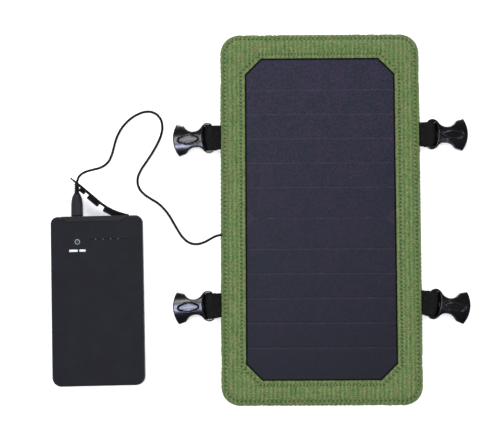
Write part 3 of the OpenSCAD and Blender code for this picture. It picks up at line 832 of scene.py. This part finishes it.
def strap_path():
    """Centreline of the webbing in the strap's own X and Z: out of the hem, round the bar and back."""
    inside = -8 * MM
    gap = 0.55 * MM
    reach = (4.0 * MM, 2.9 * MM)
    upper = [Vector((x, FOLD_Z + z)) for x, z in ((inside, gap), (-3 * MM, gap), (-1.4 * MM, gap * 1.1))]
    lower = [Vector((p.x, 2 * FOLD_Z - p.y - 0.1 * MM)) for p in reversed(upper)]
    bar = Vector((BAR_X, BAR_Z))
    turns = [math.radians(a) for a in range(112, -115, -12)]
    loop = [bar + Vector((reach[0] * math.cos(a), reach[1] * math.sin(a))) for a in turns]
    return smooth_line(upper + loop + lower, 4)


def smooth_line(points, steps):
    """A Catmull-Rom line through the points."""
    line = []
    for k in range(len(points) - 1):
        p0, p1 = points[max(k - 1, 0)], points[k]
        p2, p3 = points[k + 1], points[min(k + 2, len(points) - 1)]
        for s in range(steps):
            t = s / steps
            line.append(0.5 * (2 * p1 + (p2 - p0) * t + (2 * p0 - 5 * p1 + 4 * p2 - p3) * t * t
                               + (3 * p1 - p0 - 3 * p2 + p3) * t ** 3))
    return line + [points[-1]]


def tail_path():
    """The strap's sewn-back end, flat on the table under the buckle's slot."""
    spots = [(-5.0, 1.5), (-3.2, 1.1), (-1.0, 0.8), (1.5, 0.8), (4.0, 1.0), (6.1, 1.0)]
    return smooth_line([Vector((BAR_X + x * MM, z * MM)) for x, z in spots], 2)


def make_strap(corner, index):
    """Woven webbing that leaves the hem, rounds the bar and ends in a short tail."""
    bands = [make_band(strap_path(), 9.9 * MM, index), make_band(tail_path(), 10.3 * MM, index)]
    obj = merge("webbing_" + corner, bands)
    nodes = ["webbing_tab_" + corner] + (["webbing_anchors"] if index == 0 else [])
    place = STRAPS[corner]
    finish_piece(obj, None, "webbing", *nodes, transform=place)
    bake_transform(obj)


def make_band(path, half_w, index):
    """A band of webbing with round selvedges along a path, on a map that runs along it."""
    half_t = 0.48 * MM
    across = 20
    section = [(-half_w + 2 * half_w * k / across, half_t) for k in range(across + 1)]
    section = [(y, half_t * (0.35 if abs(y) > half_w * 0.999 else 1)) for y, _ in section]
    section += [(y, -z) for y, z in reversed(section)]
    rng = random.Random(40 + index)
    drift = [rng.uniform(-0.12, 0.12) * MM for _ in path]
    rings, run, length = [], [], 0.0
    for k, p in enumerate(path):
        ahead = (path[min(k + 1, len(path) - 1)] - path[max(k - 1, 0)]).normalized()
        out = Vector((-ahead.y, ahead.x))
        length += (p - path[k - 1]).length if k else 0.0
        run.append(length)
        bow = smooth01((p.x - BAR_X) / (4 * MM)) / (2 * SLOT_RADIUS)
        shift = drift[k] * 0.3
        rings.append([(p.x + out.x * z - y * y * bow, y + shift, p.y + out.y * z) for y, z in section])
    obj = loft("band", rings)
    count = len(section)
    uv = obj.data.uv_layers.new(name="along")
    for loop in obj.data.loops:
        uv.data[loop.index].uv = (section[loop.vertex_index % count][0], run[loop.vertex_index // count])
    return obj


LENS_X = 23.9 * MM
LENS_HALF = (8.8 * MM, 3.9 * MM)


def lens_distance(x, y):
    """Distance in metres outside the edge of the long oval boss, below 0 within it."""
    a, b = LENS_HALF
    u, v = np.maximum(np.abs(x), 1e-6), y
    f = np.sqrt((u / a) ** 1.7 + (v / b) ** 2)
    slope = np.hypot(0.85 * u ** 0.7 / a ** 1.7, v / b ** 2) / np.maximum(f, 1e-3)
    return (f - 1) / np.maximum(slope, 1 / a)


def plain_half_thickness(x):
    """Half the CAD buckle's thickness: thin round the bar, a ramp, then the full body."""
    return np.clip(2.7 * MM + 1.7 / 9.5 * (x - 9.3 * MM), 2.7 * MM, 4.4 * MM)


def crowned_half_thickness(x, y):
    """Half the moulding's thickness: low beside the strap, a lip over the slot and a crowned body."""
    from_slot = x - (11.9 * MM - y * y / (68 * MM))
    lip = smooth01((from_slot + 0.6 * MM) / (1.5 * MM))
    body = smooth01((x - 12 * MM) / (12 * MM))
    wing = np.maximum(0, np.abs(y) - 1.5 * MM) / (11.5 * MM)
    return (2.9 + 1.1 * lip + 0.38 * body - 1.6 * wing ** 2 * lip) * MM


def make_buckle_mesh():
    """One buckle in the strap's own frame: the CAD solid, remeshed, with a crowned back and ringed boss."""
    data = frame["nodes"]["buckle_upper_right"].data.copy()
    data.transform(STRAPS["upper_right"].inverted())
    obj = new_object("buckle_shape", data)
    modify(obj, "REMESH", mode="VOXEL", voxel_size=0.28 * MM, use_smooth_shade=True)
    modify(obj, "SMOOTH", factor=0.5, iterations=12)
    apply_modifiers(obj)
    co = vertex_array(obj)
    x, y, z = co[:, 0], co[:, 1], co[:, 2] - BAR_Z
    plain = plain_half_thickness(x)
    share = smooth01((np.abs(z) / plain - 0.62) / 0.34)
    level = np.abs(z) + (crowned_half_thickness(x, y) - plain) * share
    lens = lens_distance(x - LENS_X, y)
    groove = 1.1 * MM * np.exp(-((lens + 0.45 * MM) / (0.38 * MM)) ** 2)
    boss = smooth01(-(lens + 0.5 * MM) / (0.5 * MM))
    inside = np.clip(-lens / LENS_HALF[1], 0, 1)
    boss_top = 4.72 * MM + 0.07 * MM * inside
    ringed = np.where(z > 0, (level - groove) * (1 - boss) + boss_top * boss, level - groove)
    co[:, 2] = np.sign(z) * np.where(share > 0.5, ringed, level) + BAR_Z
    set_vertices(obj, co)
    modify(obj, "SMOOTH", factor=0.4, iterations=2)
    apply_modifiers(obj)
    shade_smooth(obj.data)
    return obj


def smooth01(value):
    """Eases from 0 to 1 as value does."""
    value = np.clip(value, 0, 1)
    return value * value * (3 - 2 * value)


def make_buckles():
    shape = make_buckle_mesh()
    for corner in CORNERS:
        obj = new_object("side_release_buckle_" + corner, shape.data.copy())
        finish_piece(obj, "strap_buckle_" + corner, "buckle", "buckle_" + corner, transform=STRAPS[corner])
    bpy.data.objects.remove(shape)


# --- power bank ---

BANK_LOW, BANK_HIGH = bank_span("bank_top_shell")
BANK_R = (5.8 * MM, 7.5 * MM)
SEAM_Z = BANK_LOW.z
BANK_TOP = BANK_HIGH.z
WALL = 1.4 * MM
BEZEL = [(-30, 69), (-24.5, 64.4), (20, 64.4), (27.5, 69)]
BEZEL_FACE = 67 * MM
LED_X = [-0.7, 5.4, 11.5, 17.6]
LED_Y = 50


def bank_ring(inset, z):
    """The bank's outline at an inset, counter-clockwise, with round corners."""
    w, l = BANK_HIGH.x - inset, BANK_HIGH.y - inset
    top, bottom = max(BANK_R[0] - inset, 0.3 * MM), max(BANK_R[1] - inset, 0.3 * MM)
    corners = [(w, l, top), (-w, l, top), (-w, -l, bottom), (w, -l, bottom)]
    return [(x, y, z) for x, y in rounded_polygon(corners, top, 12)]


def bank_solid(name, sections):
    return loft(name, [bank_ring(inset * MM, z) for inset, z in sections])


def make_shell(name, sections, inside, node, *cutters):
    """Half of the bank's housing, hollowed between two heights and cut by the cutters."""
    shell = bank_solid(name, sections)
    hollow = bank_solid("hollow", [(WALL / MM, z) for z in inside])
    cut(shell, hollow, *cutters)
    soften(shell, 0.14 * MM, 2, 40)
    finish_piece(shell, "root", "bank_shell", node, transform=BANK)


def fillet(radius, z_flat, up):
    """Inset in millimetres and height of rings round an edge, from the wall to the flat face."""
    turns = [math.pi / 2 * k / 8 for k in range(9)]
    return [(radius * (1 - math.cos(t)), z_flat + up * (radius * MM) * (math.sin(t) - 1)) for t in turns]


def bezel_outline(gap, deep=True):
    """The port frame's outline from above, its inner corners rounded."""
    (x0, y0), (x1, y1), (x2, _), (x3, _) = BEZEL
    corners = [(x0 - gap, y0), (x1 - gap, y1 - gap, 3.0), (x2 + gap, y1 - gap, 4.0), (x3 + gap, y0)]
    if deep:
        corners = [(x0 - gap, y0 + 3)] + corners + [(x3 + gap, y0 + 3)]
    return [(x * MM, y * MM) for x, y in rounded_polygon(corners, 0.3, 8)]


def make_bank_shells():
    """The two halves, with a fine groove where they meet."""
    seam = ((0.9, 0.0), (0.25, 0.0), (0.05, 0.12 * MM), (0, 0.3 * MM))
    past = 1 * MM
    notch = prism("notch", bezel_outline(0.12), SEAM_Z - past, BANK_TOP + past)
    holes = [prism("hole", circle_outline(x * MM, LED_Y * MM, 0.5 * MM, 24), SEAM_Z, BANK_TOP + past)
             for x in LED_X]
    sections = [(inset, SEAM_Z + z) for inset, z in seam] + fillet(1.7, BANK_TOP, 1)
    make_shell("bank_front_housing", sections, (SEAM_Z - past, BANK_TOP - WALL), "bank_top_shell",
               notch, *holes, engraved_line())
    notch = prism("notch", bezel_outline(0.12), WALL, SEAM_Z + past)
    sections = fillet(1.7, 0.0, -1)[::-1] + [(inset, SEAM_Z - z) for inset, z in seam[::-1]]
    make_shell("bank_rear_housing", sections, (WALL, SEAM_Z + past), "bank_back_shell", notch)


def engraved_line():
    """Cutter for the fine line that runs from beside the touch mark through the four lights."""
    depth, half = 0.35 * MM, 0.24 * MM
    run = [(-7.4, 47.9), (-5.6, 48.6), (-4.2, 49.6), (-2.4, LED_Y), (26.0, LED_Y)]
    points = [Vector(p) * MM for p in run]
    left, right = [], []
    for k, p in enumerate(points):
        ahead = (points[min(k + 1, len(points) - 1)] - points[max(k - 1, 0)]).normalized()
        side = Vector((-ahead.y, ahead.x)) * half
        left.append(tuple(p + side))
        right.append(tuple(p - side))
    return prism("line", right + left[::-1], BANK_TOP - depth, BANK_TOP + 1 * MM)


def port_cutters():
    """A box for each socket's opening, a little larger than the socket."""
    gap = 0.05 * MM
    tools = []
    for node in ("usb_a_port_1", "usb_a_port_2", "micro_usb_port"):
        a, b = bank_span(node)
        outline = box_outline(a.x - gap, b.x + gap, 50 * MM, 80 * MM)
        tools.append(prism("port", outline, a.z - gap, b.z + gap))
    return tools


def make_bezel():
    """The port frame, with a thin flange that closes the gap behind the shells' cut edges."""
    low, high = bank_span("port_bezel")
    outline = bezel_outline(-0.06, deep=False)
    frame_part = prism("port_frame", outline, low.z + 0.02 * MM, high.z + 0.05 * MM)
    outline = box_outline(-40 * MM, 40 * MM, BEZEL_FACE, 75 * MM)
    pocket = prism("pocket", outline, 0, BANK_TOP - WALL - 0.2 * MM)
    cut(frame_part, pocket, *port_cutters())
    soften(frame_part, 0.15 * MM, 2, 40)
    inner = 0.1 * MM
    outline = box_outline(-32 * MM, 29 * MM, BEZEL_FACE - 1.4 * MM, BEZEL_FACE - inner)
    flange = prism("flange", outline, WALL + inner, BANK_TOP - WALL - inner)
    cut(flange, *port_cutters())
    obj = merge("port_frame", [frame_part, flange])
    shade_by_size(obj)
    finish_piece(obj, "root", "black_plastic", "port_bezel", transform=BANK)


def make_markings():
    """Printed ring, stroke and two plain bars, and the domed ends of the light pipes."""
    z0, z1 = BANK_TOP - 0.06 * MM, BANK_TOP + 0.03 * MM
    x, y = -15.6 * MM, 48.1 * MM
    outer, inner = 2.15 * MM, 1.6 * MM
    sections = [(outer, z0), (outer, z1), (inner, z1), (inner, z0), (outer, z0)]
    ring = lathe("ring", x, y, sections, 48, (False, False))
    stroke = prism("stroke", box_outline(x - 0.2 * MM, x + 0.2 * MM, y - 0.2 * MM, y + 0.9 * MM), z0, z1)
    mark = merge("touch_print", [ring, stroke])
    finish_piece(mark, "root", "ink", "touch_mark", material=RING_INK, transform=BANK)
    bars = []
    for a, b in ((-22.4, -15.4), (-14.1, -8.9)):
        corners = box_outline(a * MM, b * MM, 40 * MM, 41.8 * MM)
        bars.append(prism("bar", rounded_polygon(corners, 0.5 * MM, 4), z0, z1))
    finish_piece(merge("printed_bars", bars), "root", "ink", transform=BANK)
    low, _ = bank_span("light_pipes")
    domes = []
    sections = [(0.42, low.z), (0.45, BANK_TOP - 0.25 * MM), (0.43, BANK_TOP - 0.12 * MM),
                (0.32, BANK_TOP - 0.02 * MM), (0.15, BANK_TOP + 0.02 * MM)]
    for x in LED_X:
        domes.append(lathe("dome", x * MM, LED_Y * MM, [(r * MM, z) for r, z in sections]))
    pipes = merge("light_pipe_domes", domes)
    finish_piece(pipes, "root", "light_pipe", "light_pipes", transform=BANK)


# --- port cover ---

COVER_LENGTH = 57.0
COVER_THICK = 2.0
COVER_HEIGHT = 7.2
COVER_TILT = math.radians(8)
COVER_TABS = [(15.3, 11.4, 4.4, 3.2), (30.8, 11.4, 4.4, 3.2), (42.9, 5.6, 1.7, 2.6)]


def cover_heading(s):
    """Which way the strip runs at s millimetres from its hinge."""
    return math.radians(166 - 27 * smooth01(s / 30))


def cover_points(steps):
    """The strip's centreline, walked from the hinge, in millimetres."""
    step = COVER_LENGTH / steps
    points = [Vector((0, 0))]
    for k in range(steps):
        a = cover_heading((k + 0.5) * step)
        points.append(points[-1] + step * Vector((math.cos(a), math.sin(a))))
    return points


def cover_root(points):
    """The thick root that fills the wedge between the strip and the bank's end face."""
    low = -0.25
    outline = [(p.x, p.y) for p in points if p.y > low + 0.3]
    foot = [(outline[-1][0] + 1.6, low), (outline[0][0], low)]
    inset = 1.2
    root = prism("root", foot + outline, inset, COVER_HEIGHT - inset)
    return soften(root, 0.3)


def make_port_cover():
    """The rubber strip with rounded edges, its three stoppers and its pull tip."""
    steps = 76
    points = cover_points(steps)
    rings = []
    for k, p in enumerate(points):
        s = COVER_LENGTH * k / steps
        a = cover_heading(s)
        out = Vector((-math.sin(a), math.cos(a)))
        tip = max(0.0, (s - COVER_LENGTH + 8) / 8)
        half_t = COVER_THICK / 2 * (1 - 0.5 * tip) * (0.7 + 0.3 * min(1.0, s / 6))
        half_h = COVER_HEIGHT / 2 * (1 - 0.62 * tip ** 1.5)
        outline = box_outline(-half_t, half_t, -half_h, half_h)
        section = rounded_polygon(outline, min(0.5, half_t * 0.6), 4)
        rings.append([(p.x + out.x * t, p.y + out.y * t, COVER_HEIGHT / 2 + h) for t, h in section])
    strip = loft("strip", rings)
    strip.data.flip_normals()
    parts = [strip]
    for distance, length, height, depth in COVER_TABS:
        place = points[round(distance / COVER_LENGTH * steps)]
        turn = Matrix.Rotation(cover_heading(distance), 4, "Z")
        outline = rounded_polygon(box_outline(-length / 2, length / 2, 0, depth + 1), 0.7, 4)
        z = (COVER_HEIGHT - height) / 2
        tab = prism("tab", outline, z, z + height)
        soften(tab, 0.35)
        tab.data.transform(Matrix.Translation((place.x, place.y, 0)) @ turn)
        parts.append(tab)
    parts.append(cover_root(points[:22]))
    across = math.radians(147)
    lean = Matrix.Rotation(COVER_TILT, 4, Vector((math.sin(across), -math.cos(across), 0)))
    for part in parts:
        part.data.transform(lean)
    radii = [(0.5, 0.0), (0.8, 0.3), (0.8, COVER_HEIGHT - 0.3), (0.5, COVER_HEIGHT)]
    knuckle = lathe("knuckle", 0, 0, radii)
    obj = merge("rubber_port_cover", parts + [knuckle])
    obj.data.transform(Matrix.Scale(MM, 4))
    pivot = Vector(JOINTS["cover_swing"]["pos_m"])
    pivot.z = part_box("port_cover")[0].z
    place = Matrix.Translation(pivot) @ BANK.to_3x3().to_4x4()
    finish_piece(obj, "cover", "cover_rubber", "port_cover", transform=place)


# --- CAD nodes that stay ---

def paint_nodes():
    """Gives each CAD node that stays its material, by the record's slot."""
    for part in frame["record"]["subparts"]:
        set_material(frame["nodes"][part["node"]], FINISHES[part["material_slot"]])


# --- floor and light ---

def add_area(name, place, target, size, power, color=(1, 1, 1)):
    data = bpy.data.lights.new(name, "AREA")
    set_all(data, shape="ELLIPSE", size=size[0], size_y=size[1], energy=power, color=color)
    light = new_object(name, data)
    light.location = place
    light.rotation_euler = (Vector(target) - Vector(place)).to_track_quat("-Z", "Y").to_euler()


def add_studio():
    """A softly backlit white floor in a tent: bright walls, a dim ceiling, a softbox and small lamps."""
    centre = (old_bounds[0] + old_bounds[1]) / 2
    half = 3.0
    corners = [(x, y, 0) for x, y in box_outline(-half, half, -half, half)]
    floor = mesh_object("floor", corners, [(0, 1, 2, 3)])
    paper = Finish("white_paper", (0.93, 0.93, 0.93), 0.9, Specular_IOR_Level=0.2)
    fibre = paper.noise(paper.place(), 30 * MM, 3.0)
    paper.color(paper.ramp(fibre, (0.3, (0.925, 0.925, 0.925)), (0.7, (0.935, 0.935, 0.935))))
    paper.shader.inputs["Emission Color"].default_value = (1, 1, 1, 1)
    paper.shader.inputs["Emission Strength"].default_value = 0.4
    floor.data.materials.append(paper.material)
    floor.location.z = -0.0002
    add_area("softbox", (-0.15, 1.5, 1.25), (-0.02, 0.05, 0), (0.8, 0.8), 21.5)
    for name, x in (("left_lamp", -1.15), ("right_lamp", 1.15)):
        add_area(name, (x, -0.6, 0.95), centre, (0.7, 0.7), 7)
    bluish, white = (0.66, 0.72, 1.0), (1.0, 1.0, 1.0)
    for name, place, size, power, color in (
            ("front_strip_lamp", (-0.18, -0.02, 1.75), (0.56, 0.24), 2.5, bluish),
            ("front_spot", (-0.187, -0.017, 1.62), (0.16, 0.16), 1.9, bluish),
            ("back_strip_lamp", (-0.18, 0.30, 1.75), (0.56, 0.24), 1.1, white),
            ("back_spot", (-0.19, 0.30, 1.62), (0.14, 0.14), 0.7, white)):
        add_area(name, place, (place[0], place[1], 0), size, power, color)
    world = bpy.data.worlds.new("tent")
    world.use_nodes = True
    tree = world.node_tree
    aim = tree.nodes.new("ShaderNodeTexCoord")
    split = tree.nodes.new("ShaderNodeSeparateXYZ")
    shade = tree.nodes.new("ShaderNodeValToRGB")
    tree.links.new(aim.outputs["Generated"], split.inputs[0])
    tree.links.new(split.outputs["Z"], shade.inputs["Fac"])
    tree.links.new(shade.outputs["Color"], tree.nodes["Background"].inputs["Color"])
    walls, ceiling = shade.color_ramp.elements
    walls.position, walls.color = 0.5, (1, 1, 1, 1)
    ceiling.position, ceiling.color = 0.88, (0.07, 0.07, 0.075, 1)
    scene.world = world
    scene.view_settings.view_transform = "Standard"


FINISHES = {
    "fabric": fabric_finish(),
    "webbing": webbing_finish(),
    "foam": foam_finish(),
    "film": film_finish(),
    "cell": cell_finish(),
    "laminate": board_finish("laminate_board", (70, 62, 62), (88, 80, 80), middle=(46, 32, 34)),
    "circuit_board": board_finish("circuit_board", (22, 84, 50), (34, 108, 66)),
    "component": moulded_finish("epoxy", (38, 38, 40), 0.5, 0.3),
    "tinned_copper": metal_finish("tinned_link", (96, 96, 100), 0.5),
    "steel": metal_finish("plated_steel", (186, 186, 188), 0.3),
    "copper": metal_finish("copper_foil", (196, 118, 78), 0.35),
    "battery": metal_finish("battery_pouch", (168, 174, 182), 0.42, 2.0),
    "buckle": moulded_finish("gloss_acetal", (9, 9, 11), 0.17, 2.5, 0.04, 0.006),
    "cable": moulded_finish("cable_sheath", (4, 4, 4), 0.42, 0.6, 0.06, 0.01, 0.12),
    "plug": moulded_finish("plug_vinyl", (25, 25, 28), 0.45, 0.5, 0.1, 0.03, 0.26),
    "black_plastic": moulded_finish("port_frame_plastic", (15, 15, 16), 0.5, 0.4, 0.08, 0.02, 0.3),
    "bank_shell": moulded_finish("soft_touch", (16, 16, 23), 0.52, 0.35, 0.08, 0.02, 0.2),
    "cover_rubber": moulded_finish("cover_rubber", (6, 6, 6), 0.6, 0.5, 0.1, 0.03, 0.14),
    "ink": ink_finish("white_print", (240, 241, 243)),
    "light_pipe": speckled_finish("light_pipe", ((0.3, (84, 78, 92)), (0.7, (124, 116, 130))), 0.3, 0.5, 3),
}
THREAD = speckled_finish("olive_thread", ((0.35, (70, 94, 48)), (0.65, (124, 146, 92))), 0.6, 0.5, 2.0,
                         depth=0.08, stretch=(1, 1, 3), Sheen_Weight=0.2)
PLUG_TAIL = moulded_finish("relief_vinyl", (14, 14, 15), 0.5, 0.5, 0.1, 0.02, 0.22)
# painted shadow at the window's edge, partly the laminate's black margin
EDGE_SHADOW_AND_MARGIN = moulded_finish("window_edge_shadow_and_margin", (4, 4, 4), 0.6, 0.6, 0.1, 0.02, 0.08)
RING_INK = ink_finish("grey_print", (142, 158, 163))

add_camera()
paint_nodes()
cable = make_cable()
plug_pieces = make_plug()
front_fabric, seam_lines = make_border()
make_stitches("outer_stitches", seam_lines[0])
make_stitches("window_stitches", seam_lines[1])
make_back()
make_film()
make_window_edge()
for number, corner_name in enumerate(CORNERS):
    make_strap(corner_name, number)
make_buckles()
make_bank_shells()
make_bezel()
make_markings()
make_port_cover()
add_studio()
